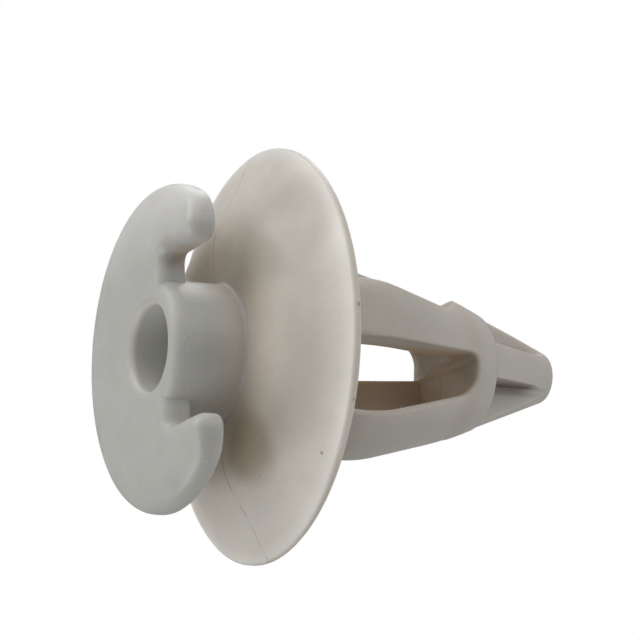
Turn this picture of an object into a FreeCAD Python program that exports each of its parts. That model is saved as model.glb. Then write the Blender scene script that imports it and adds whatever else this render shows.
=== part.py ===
"""A moulded push-in clip for a car door's trim panel.

The clip is one plastic moulding, so the model is one solid.
Millimetres, +Z along the clip's axis. The head's outer face lies on z = 0 and the tip points up.
The mould's two halves part along X, and the head is open toward +X.
"""
import FreeCAD
import Part
import math
import os

# Head: a flat disc, cut open on one side around the neck
head_diameter = 17.0
head_thickness = 1.55
head_flat_diameter = 13.0
head_crown_drop = 0.62
head_face_round = 0.75
head_back_round = 0.25
opening_width = 9.0
lobe_reach = 5.55
lobe_inner_round = 0.8
lobe_outer_round = 2.2
notch_reach = 1.75

# Neck between the head and the skirt, with the blind core hole in it
neck_diameter = 7.1
neck_skirt_round = 0.2
bore_diameter = 4.5
bore_depth = 6.6
bore_mouth_round = 0.4
bore_floor_round = 0.6

# Skirt: a thin dished flange whose hollow side faces the tip
skirt_diameter = 21.7
skirt_seat_z = 3.95
skirt_flat_diameter = 10.4
skirt_mid_diameter = 17.2
skirt_mid_rise = 1.32
skirt_rim_rise = 2.35
skirt_rim_slope_deg = 27.0
skirt_root_thickness = 1.0
skirt_mid_thickness = 0.7
skirt_rim_thickness = 0.42
skirt_rim_round = 0.12

# Shank behind the skirt, and the crest that snaps behind the sheet metal
shank_diameter = 8.6
shank_skirt_round = 0.6
shank_end_z = 6.9
crest_diameter = 10.7
crest_z = 10.6
crest_round = 7.5

# Ogive from the crest to the collar, and the ribbed tip
taper_deg = 15.0
taper_end_z = 15.55
collar_diameter = 6.26
collar_z = 18.85
collar_round = 0.2
tip_step = 0.06
tip_diameter = 2.55
tip_round = 0.42
tip_z = 23.4
tip_rib_width = 1.85
tip_recess_round = 0.4

# Cage: four legs round a square hollow, shaped by two cores that meet on the clip's mid-planes
leg_thickness = 1.9
step_depth = 1.8
step_end_z = 16.8
step_ramp_deg = 50.0
slot_start_z = 8.3
slot_end_z = 17.35
core_overlap = 0.1
core_draft_deg = 5.5
slot_inner_round = 0.55
slot_outer_round = 1.3
slot_edge_round = 0.2

# How far the cutting shapes run past the clip, and how close a point must lie to count as on a face
reach = crest_diameter
cut_margin = 1.0
touch = 0.001


def point(x, y, z):
    return FreeCAD.Vector(x, y, z)


def curve(points, start_direction, end_direction):
    """A smooth curve through the points that leaves and arrives in the given directions."""
    spline = Part.BSplineCurve()
    spline.interpolate(Points=points, InitialTangent=start_direction, FinalTangent=end_direction)
    return spline.toShape()


def polyline(points):
    return [Part.makeLine(a, b) for a, b in zip(points, points[1:])]


def arc_from(start, direction, end):
    """The circular arc that leaves the start in the given unit direction and reaches the end."""
    chord = end - start
    way = chord * (1 / chord.Length)
    cosine = direction.dot(way)
    side = direction - way * cosine
    side.normalize()
    middle = start + chord * 0.5 + side * (chord.Length / 2 * math.tan(math.acos(cosine) / 2))
    return Part.Arc(start, middle, end).toShape()


def fillet_arc(corner, before, after, radius):
    """The arc that rounds a right-angled corner between two directions away from it."""
    start = corner + before * radius
    end = corner + after * radius
    middle = corner + (before + after) * radius - (before + after) * (radius / math.sqrt(2))
    return Part.Arc(start, middle, end).toShape(), start, end


def revolve(edges):
    """Turn a closed outline in the XZ plane once round the clip's axis."""
    return Part.Face(Part.Wire(edges)).revolve(point(0, 0, 0), point(0, 0, 1), 360)


def slab(x0, x1, y0, y1, z0, z1):
    return Part.makeBox(x1 - x0, y1 - y0, z1 - z0, point(x0, y0, z0))


def half_turn(shape):
    turned = shape.copy()
    turned.rotate(point(0, 0, 0), point(0, 0, 1), 180)
    return turned


def edges_where(shape, test):
    """The shape's edges that pass the test near both ends and in the middle."""
    chosen = []
    for edge in shape.Edges:
        first, last = edge.ParameterRange
        samples = [edge.valueAt(first + (last - first) * share) for share in (0.02, 0.5, 0.98)]
        if all(test(sample) for sample in samples):
            chosen.append(edge)
    return chosen


def head_disc():
    """The full disc before it is cut: flat in the middle of its face, crowned toward the rim."""
    radius = head_diameter / 2
    flat = head_flat_diameter / 2
    crown_radius = ((radius - flat) ** 2 + head_crown_drop ** 2) / (2 * head_crown_drop)
    half_angle = math.asin((radius - flat) / crown_radius) / 2
    crown_middle = point(flat + crown_radius * math.sin(half_angle), 0,
                         crown_radius * (1 - math.cos(half_angle)))
    crown_end = point(radius, 0, head_crown_drop)
    edges = [Part.Arc(point(flat, 0, 0), crown_middle, crown_end).toShape()]
    edges += polyline([crown_end, point(radius, 0, head_thickness), point(0, 0, head_thickness),
                       point(0, 0, 0), point(flat, 0, 0)])
    return revolve(edges)


def head_outline():
    """A tall block with the head's C-shaped outline: two lobes that reach round the neck."""
    half_width = opening_width / 2
    notch_radius = (half_width - neck_diameter / 2) / 2
    notch_y = half_width - notch_radius
    notch_x = notch_reach + notch_radius
    low, high = -cut_margin, head_thickness + cut_margin
    block = Part.makeCylinder(head_diameter / 2, high - low, point(0, 0, low))
    block = block.cut(slab(lobe_reach, reach, -reach, reach, low, high))
    block = block.cut(slab(notch_x, reach, -half_width, half_width, low, high))
    block = block.cut(slab(notch_reach, notch_x, -notch_y, notch_y, low, high))
    for side in (-1, 1):
        block = block.cut(Part.makeCylinder(notch_radius, high - low, point(notch_x, side * notch_y, low)))

    def lobe_corners(shape, inner):
        ends = edges_where(shape, lambda p: abs(p.x - lobe_reach) < touch)
        upright_ends = [edge for edge in ends if edge.BoundBox.YLength < touch]
        return [edge for edge in upright_ends if (abs(edge.CenterOfMass.y) < half_width + touch) == inner]

    block = block.makeFillet(lobe_inner_round, lobe_corners(block, True))
    return block.makeFillet(lobe_outer_round, lobe_corners(block, False))


def head():
    """The C-shaped head with the neck's end filling its middle, and its edges rounded."""
    neck = neck_diameter / 2
    flat = head_flat_diameter / 2
    plate = head_outline().common(head_disc())
    plate = plate.fuse(Part.makeCylinder(neck, head_thickness)).removeSplitter()

    def on_crown_start(edge):
        return all(abs(math.hypot(vertex.X, vertex.Y) - flat) < touch for vertex in edge.Vertexes)

    front = edges_where(plate, lambda p: p.z < head_crown_drop + touch)
    plate = plate.makeFillet(head_face_round, [edge for edge in front if not on_crown_start(edge)])

    def on_back(p):
        return abs(p.z - head_thickness) < touch and math.hypot(p.x, p.y) > neck + touch

    return plate.makeFillet(head_back_round, edges_where(plate, on_back))


def neck_and_skirt():
    """The neck, the dished skirt and the plain shank behind it, as one turned form."""
    neck = neck_diameter / 2
    shank = shank_diameter / 2
    rim = skirt_diameter / 2
    flat = skirt_flat_diameter / 2
    middle = skirt_mid_diameter / 2
    back_z = skirt_seat_z + skirt_root_thickness
    rim_z = skirt_seat_z + skirt_rim_rise
    rim_back_z = rim_z + skirt_rim_thickness
    outward, down, up = point(1, 0, 0), point(0, 0, -1), point(0, 0, 1)
    rim_slope = point(1, 0, math.tan(math.radians(skirt_rim_slope_deg)))
    neck_arc, neck_end, seat_start = fillet_arc(point(neck, 0, skirt_seat_z), down, outward,
                                                neck_skirt_round)
    front = curve([point(flat, 0, skirt_seat_z), point(middle, 0, skirt_seat_z + skirt_mid_rise),
                   point(rim - skirt_rim_round, 0, rim_z)], outward, rim_slope)
    rim_low = point(rim, 0, rim_z + skirt_rim_round)
    rim_high = point(rim, 0, rim_back_z - skirt_rim_round)
    middle_back = skirt_seat_z + skirt_mid_rise + skirt_mid_thickness
    back = curve([point(rim - skirt_rim_round, 0, rim_back_z), point(middle, 0, middle_back),
                  point(flat, 0, back_z)], rim_slope * -1, outward * -1)
    shank_arc, shank_start, root_end = fillet_arc(point(shank, 0, back_z), up, outward, shank_skirt_round)
    axis_start = point(0, 0, head_thickness)
    edges = polyline([axis_start, point(neck, 0, head_thickness), neck_end])
    edges += [neck_arc, Part.makeLine(seat_start, point(flat, 0, skirt_seat_z)), front]
    edges += polyline([point(rim - skirt_rim_round, 0, rim_z), rim_low, rim_high,
                       point(rim - skirt_rim_round, 0, rim_back_z)])
    edges += [back, Part.makeLine(point(flat, 0, back_z), root_end), shank_arc]
    edges += polyline([shank_start, point(shank, 0, shank_end_z), point(0, 0, shank_end_z), axis_start])
    return revolve(edges)


def ogive(inset):
    """The cage's outer line from the collar down to the shank's end, moved in toward the axis."""
    taper = math.radians(taper_deg)
    crest = point(crest_diameter / 2 - inset, 0, crest_z)
    taper_start = crest + point(math.cos(taper) - 1, 0, math.sin(taper)) * crest_round
    taper_end = taper_start + point(-math.tan(taper), 0, 1) * (taper_end_z - taper_start.z)
    collar_end = point(collar_diameter / 2 - inset, 0, collar_z)
    shank_end = point(shank_diameter / 2 - inset, 0, shank_end_z)
    return [
        arc_from(taper_end, point(-math.sin(taper), 0, math.cos(taper)), collar_end),
        Part.makeLine(taper_end, taper_start),
        arc_from(crest, point(0, 0, 1), taper_start),
        arc_from(crest, point(0, 0, -1), shank_end),
    ]


def beside_ogive(inset, limit, start, end, turn_deg):
    """The space between the moved-in ogive and an upright plane, from start to end across it.

    It is made with the ogive toward +X and the plane at x = limit, and then turned about the axis.
    """
    shank_end = point(shank_diameter / 2 - inset, start, shank_end_z)
    collar_end = point(collar_diameter / 2 - inset, start, collar_z)
    edges = [edge.translated(point(0, start, 0)) for edge in ogive(inset)]
    edges += polyline([shank_end, point(limit, start, shank_end_z), point(limit, start, collar_z),
                       collar_end])
    space = Part.Face(Part.Wire(edges)).extrude(point(0, end - start, 0))
    space.rotate(point(0, 0, 0), point(0, 0, 1), turn_deg)
    return space


def cage_blank():
    """The cage before its legs are parted: a solid ogive that ends in the collar."""
    collar = collar_diameter / 2
    shank_end = point(shank_diameter / 2, 0, shank_end_z)
    edges = ogive(0)
    edges += polyline([shank_end, point(0, 0, shank_end_z), point(0, 0, collar_z),
                       point(collar, 0, collar_z)])
    blank = revolve(edges)
    end = edges_where(blank, lambda p: p.z > collar_z - touch and math.hypot(p.x, p.y) > collar - touch)
    return blank.makeFillet(collar_round, end)


def slot_length():
    """The stretch of the slots: square to the axis at the shank, and drafted at the collar."""
    slope = math.tan(math.radians(core_draft_deg))
    middle_end_z = slot_end_z - collar_diameter / 2 * slope
    corners = [point(-reach, -reach, slot_start_z), point(reach, -reach, slot_start_z),
               point(reach, -reach, middle_end_z + reach * slope),
               point(-reach, -reach, middle_end_z - reach * slope)]
    side = Part.Face(Part.Wire(polyline(corners + corners[:1])))
    return side.extrude(point(0, 2 * reach, 0))


def half_core():
    """The space that one mould core leaves: a window toward +X, and its half of the hollow."""
    window = beside_ogive(leg_thickness, -core_overlap, -reach, reach, 90)
    depth = beside_ogive(leg_thickness, -reach, -reach, reach, 180)
    core = window.common(depth).common(slot_length())

    def long_edges(shape, test):
        return [edge for edge in edges_where(shape, test) if edge.BoundBox.XLength > reach]

    outer_end = long_edges(core, lambda p: p.z > taper_end_z + touch and p.y > core_overlap)
    core = core.makeFillet(slot_outer_round, outer_end)

    def by_overlap_or_shank(p):
        return abs(p.y + core_overlap) < touch or p.z < slot_start_z + touch

    return core.makeFillet(slot_inner_round, long_edges(core, by_overlap_or_shank))


def step_length():
    """The stretch of a step: square to the axis at the shank, and a ramp up to the collar."""
    slope = math.tan(math.radians(step_ramp_deg))
    ramp_foot_z = step_end_z - collar_diameter / 2 * slope
    corners = [point(-reach, 0, slot_start_z), point(-reach, -reach, slot_start_z),
               point(-reach, -reach, ramp_foot_z + reach * slope), point(-reach, 0, ramp_foot_z)]
    side = Part.Face(Part.Wire(polyline(corners + corners[:1])))
    return side.extrude(point(2 * reach, 0, 0))


def side_step():
    """The open step beside a window, which frees the next leg on its side."""
    above_leg = beside_ogive(step_depth, reach, -core_overlap, reach, -90)
    into_core = beside_ogive(leg_thickness + core_overlap, reach, -core_overlap, reach, -90)
    beside_leg = beside_ogive(leg_thickness, -reach, -reach, 0, 0)
    return above_leg.fuse(into_core.common(beside_leg)).common(step_length())


def cage():
    """Four legs that spring from the shank and meet again in the collar.

    The edges that the cores leave on the outside are rounded, apart from those at the steps' ends.
    """
    core = half_core()
    step = side_step()
    whole = cage_blank()
    legs = whole
    for cutter in (core, half_turn(core), step, half_turn(step)):
        legs = legs.cut(cutter)
    left_sharp = whole.Edges + step_length().Faces + half_turn(step_length()).Faces

    def distance(parts, p):
        vertex = Part.Vertex(p)
        return min(part.distToShape(vertex)[0] for part in parts)

    def left_by_core(p):
        if p.z < shank_end_z + touch or p.z > collar_z - collar_round - touch:
            return False
        return distance(whole.Faces, p) < touch < distance(left_sharp, p)

    return legs.makeFillet(slot_edge_round, edges_where(legs, left_by_core))


def tip():
    """The point: two crossed ribs under a cone that runs on from the ogive."""
    root = collar_diameter / 2 - tip_step
    end = tip_diameter / 2
    half_rib = tip_rib_width / 2
    cone = Part.makeCone(root, end, tip_z - collar_z, point(0, 0, collar_z))
    cone = cone.makeFillet(tip_round, edges_where(cone, lambda p: p.z > tip_z - touch))
    recess = slab(half_rib, reach, half_rib, reach, collar_z, tip_z)

    def on_corner(p):
        return abs(p.x - half_rib) + abs(p.y - half_rib) < touch

    recess = recess.makeFillet(tip_recess_round, edges_where(recess, on_corner))
    for quarter in range(4):
        corner = recess.copy()
        corner.rotate(point(0, 0, 0), point(0, 0, 1), 90 * quarter)
        cone = cone.cut(corner)
    return cone


def bore():
    """The blind hole that the mould's core pin leaves in the neck, with a rounded mouth."""
    radius = bore_diameter / 2
    mouth = radius + bore_mouth_round
    mouth_arc, mouth_start, mouth_end = fillet_arc(point(radius, 0, 0), point(1, 0, 0), point(0, 0, 1),
                                                   bore_mouth_round)
    floor_arc, floor_start, floor_end = fillet_arc(point(radius, 0, bore_depth), point(0, 0, -1),
                                                   point(-1, 0, 0), bore_floor_round)
    edges = [mouth_arc, Part.makeLine(mouth_end, floor_start), floor_arc]
    edges += polyline([floor_end, point(0, 0, bore_depth), point(0, 0, -cut_margin),
                       point(mouth, 0, -cut_margin), mouth_start])
    return revolve(edges)


def panel_clip():
    clip = head().fuse(neck_and_skirt()).fuse(cage()).fuse(tip()).cut(bore())
    return clip.removeSplitter()


if __name__ == "__main__":
    os.makedirs("parts", exist_ok=True)
    panel_clip().exportStep("parts/panel_clip.step")
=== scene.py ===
"""The door panel clip's looks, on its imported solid."""

import bpy
from mathutils import Matrix, Vector

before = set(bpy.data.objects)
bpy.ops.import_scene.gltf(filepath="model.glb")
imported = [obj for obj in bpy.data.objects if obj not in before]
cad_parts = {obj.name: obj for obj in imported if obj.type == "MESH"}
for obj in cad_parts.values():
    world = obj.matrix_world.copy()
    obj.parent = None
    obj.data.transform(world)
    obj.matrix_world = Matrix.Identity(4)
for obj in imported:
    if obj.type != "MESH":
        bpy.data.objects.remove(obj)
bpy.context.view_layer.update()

scene = bpy.context.scene
scene.view_settings.view_transform = "Standard"
MM = 0.001
CLIP = "panel_clip"

# The photograph's view: the clip lies level, its head to the left and its point to the right
VIEW_PLACE = Vector((0.15358, 0.04376, -0.07005))
VIEW_RIGHT = Vector((0.450765, 0.046586, 0.891426))
VIEW_UP = Vector((0.24966, -0.965363, -0.075795))
VIEW_BACK = VIEW_RIGHT.cross(VIEW_UP)
VIEW_LENS = 191.72
SENSOR_WIDTH = 36
NEAREST_VIEW = 0.01
CLIP_MIDDLE = Vector((0, 0, 0.0095))

# Light of the room round the clip
SKY_COLOUR = (1.0, 1.0, 1.0, 1)
SKY_STRENGTH = 0.28
LAMP_DISTANCE = 0.4
LAMP_SIZE = 0.3
# Lamps of the tent: name, steps right, up and back toward the camera in the view, and watts
LAMPS = (
    ("top", 0, 1, 0.1, 0.20),
    ("top_behind", 0, 0.8, -0.6, 0.55),
    ("top_left", -0.8, 0.8, 0, 0.66),
    ("top_right", 0.6, 0.7, 0.5, 0.27),
    ("top_front", 0, 0.7, 0.7, 0.12),
    ("left", -1, 0.1, 0.2, 0.15),
    ("low_left", -0.8, -0.6, 0.2, 0.60),
    ("right", 1, 0.1, 0.2, 0.08),
    ("low_right", 0.8, -0.6, 0.2, 0.28),
    ("low_front", 0, -0.6, 0.7, 0.05),
)

# The floor: half its width and its height, both in metres, and the paper's colour
FLOOR_HALF = 1.5
FLOOR_HEIGHT = -0.02 * MM
PAPER_COLOUR = (0.86, 0.86, 0.86, 1)

# Bands of the clip, each a measure in millimetres and where it goes from none to full
PAST_HEAD = ("height", 1.6, 3.6)
ON_SKIRT = (PAST_HEAD, ("height", 10.6, 6.4))
PAST_COLLAR = ("height", 18.8, 19.1)
RIB_HALF_WIDTH = 0.925

# Layers of tone, each over the last: the bands it keeps to, its share and its colour. Besides the clip's
# own tones, the layers named so are painted light and painted shade
HEAD_TONE = (183, 183, 178)
TONES = {
    "skirt": ((PAST_HEAD,), 1.0, (198, 192, 181)),
    "stem": ((("height", 6.4, 10.6),), 1.0, (187, 182, 173)),
    "point": ((("height", 10.6, 18.8),), 1.0, (198, 194, 187)),
    # Painted light: the upper part of the head made paler, as where light from above falls on it
    "painted light on the upper part of the head": ((("beside", -3.5, -8.0), ("height", 3.6, 1.6)), 0.75, (214, 213, 209)),
    # Painted light: the skirt's upper and lower parts made paler, as where more light falls on them
    "painted light on the upper and lower parts of the skirt": ((("off_middle", 6.0, 10.0), *ON_SKIRT), 0.7, (224, 221, 214)),
    # Painted light: the skirt made paler toward its thin rim, standing in for light that comes through
    # the thin resin
    "painted light through the thin part of the skirt": ((*ON_SKIRT, ("radius", 8.4, 10.8)), 1.0, (217, 213, 204)),
    # Painted highlight: a pale band along the front of the skirt's rim
    "painted highlight on the front of the skirt's rim": ((*ON_SKIRT, ("radius", 9.9, 10.75)), 0.6, (233, 232, 228)),
    # Painted shade: the outer edge of the rim darkened to dim its lit band
    "painted shade on the outer edge of the rim": ((*ON_SKIRT, ("radius", 10.72, 10.84)), 0.8, (196, 191, 183)),
    # Painted light: the inside of the core hole made paler, standing in for light that reaches into it
    "painted light in the core hole": ((("radius", 2.45, 2.3), ("height", 7.5, 7.0)), 1.0, (206, 205, 200)),
    # Painted shade: warm brown round the neck, on the head's inner walls and back and at the skirt's
    # root
    "painted shade in the corners round the neck": (
        (("height", 0.35, 1.3), ("height", 6.0, 5.0), ("radius", 7.2, 5.2), ("radius", 3.7, 4.5)),
        0.3, (188, 169, 146)),
    # Painted shade: warm brown inside the hollow of the cage
    "painted shade in the hollow of the cage": (
        (("height", 7.5, 9.0), ("height", 18.2, 16.8), ("radius", 4.3, 2.9)), 0.8, (176, 152, 126)),
    # Painted shade: dark brown in the corners between the point's ribs
    "painted shade in the corners between the point's ribs": (
        (("off_ribs", 1.5, 0.95), PAST_COLLAR, ("height", 22.4, 21.0)), 0.9, (98, 80, 64)),
    # Painted shadow: dark brown on the flanks of the point's ribs next to the collar
    "painted shadow on the flanks of the point's ribs": (
        (("off_flank", 0.08, 0.03), ("off_parting", 3.2, 1.2), PAST_COLLAR, ("height", 22.6, 21.4)),
        0.8, (92, 75, 58)),
}

# Soft round patches of painted shade and painted light near the head's opening: brown painted shadow
# under the lower lobe and on the notch's wall, then darker painted shade and paler painted light on the
# skirt above the neck. Place and size in millimetres, share and colour
PAINTED_LIGHT_AND_SHADE_PATCHES = (
    ((2.7, 5.6, 4.0), 2.6, 0.5, (150, 126, 101)),
    ((2.7, -4.5, 0.8), 1.4, 0.3, (150, 126, 101)),
    ((6.3, -4.9, 4.9), 3.9, 0.7, (184, 178, 167)),
    ((1.3, -4.9, 3.95), 2.2, 0.5, (222, 216, 204)),
)

# Small marks on the skirt, laid in the same way: a speck of burnt resin, and painted shade for two nicks
# on the rim
MARKS = (
    ((7.31, 6.79, 5.94), 0.12, 0.6, (110, 84, 62)),
    # Painted shade where two small nicks notch the rim
    ((10.85, 0.0, 6.6), 0.16, 0.6, (120, 116, 110)),
    ((9.83, 4.6, 6.6), 0.13, 0.6, (120, 116, 110)),
)

# Patterns of noise: how fine, which is one over millimetres, and how many steps of detail
CLOUDS = (0.35, 3.0)
FLECKS = (7.0, 2.0)
LINE_BREAKS = (1.1, 2.0)
SPECK_CROWDS = (0.45, 1.0)
SHINE = (0.8, 3.0)
GRAIN = (9.0, 2.0)
WAVES = (0.5, 2.0)
# Most of a noise pattern's values lie between these two
NOISE_SPAN = (0.3, 0.7)
# How far the clouds and the flecks darken and lighten the tone
CLOUD_SPAN = (0.97, 1.03)
FLECK_SPAN = (0.985, 1.015)

# The parting line of the mould's halves: where it fades out and is full, its share and its colour
PARTING_WIDTH = (0.05, 0.015)
PARTING_START = ("height", 3.6, 4.0)
PARTING_SHARE = 0.62
LINE_BREAK_SPAN = (0.35, 0.6)
FAINTEST_LINE = 0.25
PARTING_COLOUR = (120, 108, 95)

# Specks: spacing and size in millimetres, and the share of the pattern's cells that hold one
SPECK_CROWD_SPAN = (0.46, 0.58)
PALE_SPECKS = (0.34, 0.06, 0.3)
PALE_SHARE = 0.55
PALE_COLOUR = (230, 228, 224)
BROWN_SPECKS = (2.6, 0.07, 0.16)
BROWN_SHARE = 0.35
BROWN_COLOUR = (120, 98, 78)

# Relief in millimetres
GRAIN_DEPTH = 0.006
WAVE_DEPTH = 0.03
PARTING_DEPTH = 0.02
SPECK_RISE = 0.01

# Roughness of the satin surface, and how far light goes into the resin
SHINE_RANGE = (0.30, 0.42)
DEEP_LIGHT_WEIGHT = 0.5
DEEP_LIGHT_RADIUS = (1.0, 0.65, 0.4)
DEEP_LIGHT_SCALE = 0.8 * MM


def linear(red, green, blue):
    """A screen colour from 0 to 255 as the linear colour that a shader takes."""
    def channel(value):
        share = value / 255
        return share / 12.92 if share <= 0.04045 else ((share + 0.055) / 1.055) ** 2.4
    return (channel(red), channel(green), channel(blue), 1.0)


def facing(place, right, up):
    """The turn and place of something that looks back along right x up."""
    turn = Matrix((right, up, right.cross(up))).transposed().to_4x4()
    return Matrix.Translation(place) @ turn


def add_camera():
    camera = bpy.data.cameras.new("camera")
    camera.lens = VIEW_LENS
    camera.sensor_width = SENSOR_WIDTH
    camera.clip_start = NEAREST_VIEW
    holder = bpy.data.objects.new("camera", camera)
    holder.matrix_world = facing(VIEW_PLACE, VIEW_RIGHT, VIEW_UP)
    scene.collection.objects.link(holder)
    scene.camera = holder


def add_softbox(name, right, up, back, power):
    """A square soft lamp, set out from the clip's middle along the view's own directions."""
    way = (VIEW_RIGHT * right + VIEW_UP * up + VIEW_BACK * back).normalized()
    lamp = bpy.data.lights.new(name, "AREA")
    lamp.shape = "SQUARE"
    lamp.size = LAMP_SIZE
    lamp.energy = power
    holder = bpy.data.objects.new(name, lamp)
    holder.rotation_euler = way.to_track_quat("Z", "Y").to_euler()
    holder.location = CLIP_MIDDLE + way * LAMP_DISTANCE
    scene.collection.objects.link(holder)


def add_sky():
    """Plain white behind the clip, and an even soft light from all round."""
    world = bpy.data.worlds.new("studio")
    world.use_nodes = True
    nodes = world.node_tree.nodes
    links = world.node_tree.links
    nodes.clear()
    path = nodes.new("ShaderNodeLightPath")
    seen = nodes.new("ShaderNodeBackground")
    seen.inputs["Color"].default_value = (1, 1, 1, 1)
    seen.inputs["Strength"].default_value = 1
    room = nodes.new("ShaderNodeBackground")
    room.inputs["Color"].default_value = SKY_COLOUR
    room.inputs["Strength"].default_value = SKY_STRENGTH
    mix = nodes.new("ShaderNodeMixShader")
    out = nodes.new("ShaderNodeOutputWorld")
    links.new(path.outputs["Is Camera Ray"], mix.inputs["Fac"])
    links.new(room.outputs["Background"], mix.inputs[1])
    links.new(seen.outputs["Background"], mix.inputs[2])
    links.new(mix.outputs["Shader"], out.inputs["Surface"])
    scene.world = world


def floor_material():
    """Pale paper seen from above, and nothing from below, where the photograph's camera stands."""
    material = bpy.data.materials.new("floor_paper")
    material.use_nodes = True
    nodes = material.node_tree.nodes
    links = material.node_tree.links
    nodes.clear()
    side = nodes.new("ShaderNodeNewGeometry")
    paper = nodes.new("ShaderNodeBsdfDiffuse")
    paper.inputs["Color"].default_value = PAPER_COLOUR
    clear = nodes.new("ShaderNodeBsdfTransparent")
    mix = nodes.new("ShaderNodeMixShader")
    out = nodes.new("ShaderNodeOutputMaterial")
    links.new(side.outputs["Backfacing"], mix.inputs["Fac"])
    links.new(paper.outputs["BSDF"], mix.inputs[1])
    links.new(clear.outputs["BSDF"], mix.inputs[2])
    links.new(mix.outputs["Shader"], out.inputs["Surface"])
    return material


def add_floor():
    """The floor under the head, which lets the lamps below it light the head's face."""
    corners = [(x * FLOOR_HALF, y * FLOOR_HALF, FLOOR_HEIGHT)
               for x, y in ((-1, -1), (1, -1), (1, 1), (-1, 1))]
    mesh = bpy.data.meshes.new("floor")
    mesh.from_pydata(corners, [], [(0, 1, 2, 3)])
    floor = bpy.data.objects.new("floor", mesh)
    floor.data.materials.append(floor_material())
    scene.collection.objects.link(floor)
    floor.visible_shadow = False
    floor.visible_diffuse = False
    floor.visible_glossy = False
    floor.visible_transmission = False


class Shader:
    """The nodes of one material, each made with its inputs as numbers or as links."""

    def __init__(self, name):
        self.material = bpy.data.materials.new(name)
        self.material.use_nodes = True
        self.nodes = self.material.node_tree.nodes
        self.links = self.material.node_tree.links

    def put(self, socket, value):
        if isinstance(value, bpy.types.NodeSocket):
            self.links.new(value, socket)
        else:
            socket.default_value = value

    def calculate(self, operation, first, second=0.0):
        node = self.nodes.new("ShaderNodeMath")
        node.operation = operation
        self.put(node.inputs[0], first)
        self.put(node.inputs[1], second)
        return node.outputs[0]

    def times(self, first, *others):
        """The product of masks and numbers."""
        for other in others:
            first = self.calculate("MULTIPLY", first, other)
        return first

    def away(self, value, middle):
        """How far a value is from a middle one, on either side."""
        return self.calculate("ABSOLUTE", self.calculate("SUBTRACT", value, middle))

    def ease(self, value, start, end, low=0.0, high=1.0):
        """Smooth change from low to high while the value goes from start to end."""
        node = self.nodes.new("ShaderNodeMapRange")
        node.interpolation_type = "SMOOTHSTEP"
        self.put(node.inputs["Value"], value)
        self.put(node.inputs["From Min"], start)
        self.put(node.inputs["From Max"], end)
        self.put(node.inputs["To Min"], low)
        self.put(node.inputs["To Max"], high)
        return node.outputs["Result"]

    def noise(self, place, fineness, detail):
        node = self.nodes.new("ShaderNodeTexNoise")
        self.put(node.inputs["Vector"], place)
        self.put(node.inputs["Scale"], fineness)
        self.put(node.inputs["Detail"], detail)
        return node.outputs["Fac"]

    def sway(self, place, pattern, low, high):
        """A slow change between low and high with a pattern of noise."""
        return self.ease(self.noise(place, *pattern), *NOISE_SPAN, low, high)

    def tint(self, share, colour, other, blend="MIX"):
        node = self.nodes.new("ShaderNodeMix")
        node.data_type = "RGBA"
        node.blend_type = blend
        self.put(node.inputs["Factor"], share)
        self.put(node.inputs["A"], colour)
        self.put(node.inputs["B"], other)
        return node.outputs["Result"]

    def band(self, measures, bands):
        """The mask of the places that lie in all of the given bands."""
        return self.times(*(self.ease(measures[name], none, full) for name, none, full in bands))

    def spot(self, place, centre, size):
        """The mask of one soft round spot, in millimetres."""
        node = self.nodes.new("ShaderNodeVectorMath")
        node.operation = "DISTANCE"
        self.put(node.inputs[0], place)
        self.put(node.inputs[1], centre)
        return self.ease(node.outputs["Value"], size, size / 2)

    def specks(self, place, spacing, size, share):
        """Small round marks in some of the cells of a Voronoi pattern, sizes in millimetres."""
        node = self.nodes.new("ShaderNodeTexVoronoi")
        self.put(node.inputs["Vector"], place)
        self.put(node.inputs["Scale"], 1 / spacing)
        dot = self.ease(node.outputs["Distance"], size / spacing, size / spacing / 2)
        split = self.nodes.new("ShaderNodeSeparateColor")
        self.put(split.inputs["Color"], node.outputs["Color"])
        chosen = self.calculate("LESS_THAN", split.outputs["Red"], share)
        return self.times(dot, chosen)


def place_on_clip(shader):
    """The place on the clip in millimetres, and the measures that the bands use."""
    coordinates = shader.nodes.new("ShaderNodeTexCoord")
    in_mm = shader.nodes.new("ShaderNodeMapping")
    in_mm.inputs["Scale"].default_value = (1 / MM, 1 / MM, 1 / MM)
    shader.put(in_mm.inputs["Vector"], coordinates.outputs["Object"])
    place = in_mm.outputs["Vector"]
    split = shader.nodes.new("ShaderNodeSeparateXYZ")
    shader.put(split.inputs["Vector"], place)
    across, beside, height = (split.outputs[axis] for axis in "XYZ")
    squares = shader.calculate("ADD", shader.times(across, across), shader.times(beside, beside))
    off_parting = shader.away(across, 0.0)
    off_middle = shader.away(beside, 0.0)
    return place, {
        "beside": beside,
        "height": height,
        "radius": shader.calculate("SQRT", squares),
        "off_parting": off_parting,
        "off_middle": off_middle,
        "off_ribs": shader.calculate("MAXIMUM", off_parting, off_middle),
        "off_flank": shader.away(off_middle, RIB_HALF_WIDTH),
    }


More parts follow.
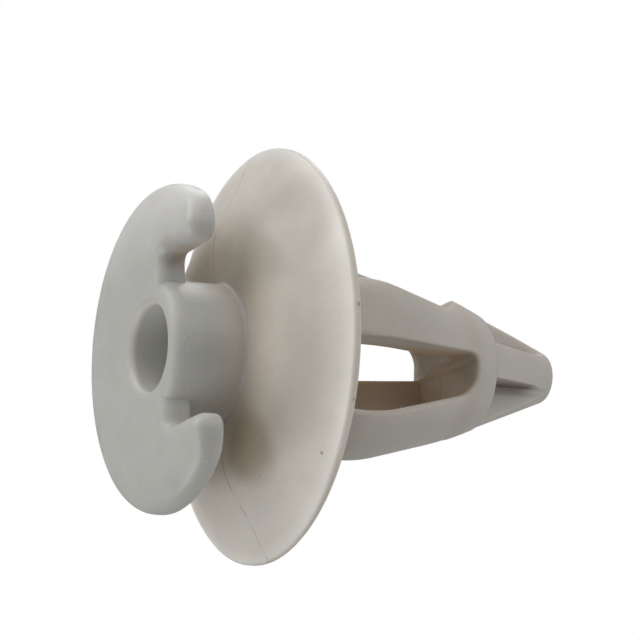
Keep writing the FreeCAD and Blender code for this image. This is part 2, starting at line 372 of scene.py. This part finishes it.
def moulding_material():
    """Satin nylon straight from the mould, with its parting line and small marks, and painted light and
    shade over its tone.
    """
    shader = Shader("satin_nylon")
    place, measures = place_on_clip(shader)

    tone = linear(*HEAD_TONE)
    # Layers of tone, some of them painted light and painted shade
    for bands, share, colour in TONES.values():
        tone = shader.tint(shader.times(shader.band(measures, bands), share), tone, linear(*colour))
    # Patches of painted shade and painted light
    for centre, size, share, colour in PAINTED_LIGHT_AND_SHADE_PATCHES:
        tone = shader.tint(shader.times(shader.spot(place, centre, size), share), tone, linear(*colour))

    # Clouding of the resin, and fine flow marks
    tone = shader.tint(1.0, tone, shader.sway(place, CLOUDS, *CLOUD_SPAN), "MULTIPLY")
    tone = shader.tint(1.0, tone, shader.sway(place, FLECKS, *FLECK_SPAN), "MULTIPLY")

    # The parting line runs from the skirt to the point, fainter in some places
    broken = shader.ease(shader.noise(place, *LINE_BREAKS), *LINE_BREAK_SPAN, FAINTEST_LINE)
    parting = shader.times(shader.ease(measures["off_parting"], *PARTING_WIDTH),
                           shader.band(measures, (PARTING_START,)), broken)
    tone = shader.tint(shader.times(parting, PARTING_SHARE), tone, linear(*PARTING_COLOUR))

    # Pale pin-point specks in loose crowds, and a few brown ones
    crowded = shader.ease(shader.noise(place, *SPECK_CROWDS), *SPECK_CROWD_SPAN)
    pale = shader.times(shader.specks(place, *PALE_SPECKS), crowded)
    tone = shader.tint(shader.times(pale, PALE_SHARE), tone, linear(*PALE_COLOUR))
    brown = shader.specks(place, *BROWN_SPECKS)
    tone = shader.tint(shader.times(brown, BROWN_SHARE), tone, linear(*BROWN_COLOUR))
    for centre, size, share, colour in MARKS:
        tone = shader.tint(shader.times(shader.spot(place, centre, size), share), tone, linear(*colour))

    # Spark-eroded grain, slow sink waves, the parting line and the pale specks
    grain = shader.times(shader.noise(place, *GRAIN), GRAIN_DEPTH)
    waves = shader.times(shader.noise(place, *WAVES), WAVE_DEPTH)
    relief = shader.calculate("ADD", grain, waves)
    relief = shader.calculate("SUBTRACT", relief, shader.times(parting, PARTING_DEPTH))
    relief = shader.calculate("ADD", relief, shader.times(pale, SPECK_RISE))
    bump = shader.nodes.new("ShaderNodeBump")
    bump.inputs["Distance"].default_value = MM
    shader.put(bump.inputs["Height"], relief)

    plastic = shader.nodes["Principled BSDF"]
    plastic.inputs["Subsurface Weight"].default_value = DEEP_LIGHT_WEIGHT
    plastic.inputs["Subsurface Radius"].default_value = DEEP_LIGHT_RADIUS
    plastic.inputs["Subsurface Scale"].default_value = DEEP_LIGHT_SCALE
    shader.put(plastic.inputs["Base Color"], tone)
    shader.put(plastic.inputs["Roughness"], shader.sway(place, SHINE, *SHINE_RANGE))
    shader.put(plastic.inputs["Normal"], bump.outputs["Normal"])
    return shader.material


add_camera()
add_sky()
add_floor()
for lamp_row in LAMPS:
    add_softbox(*lamp_row)

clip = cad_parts[CLIP]
clip.data.materials.clear()
clip.data.materials.append(moulding_material())
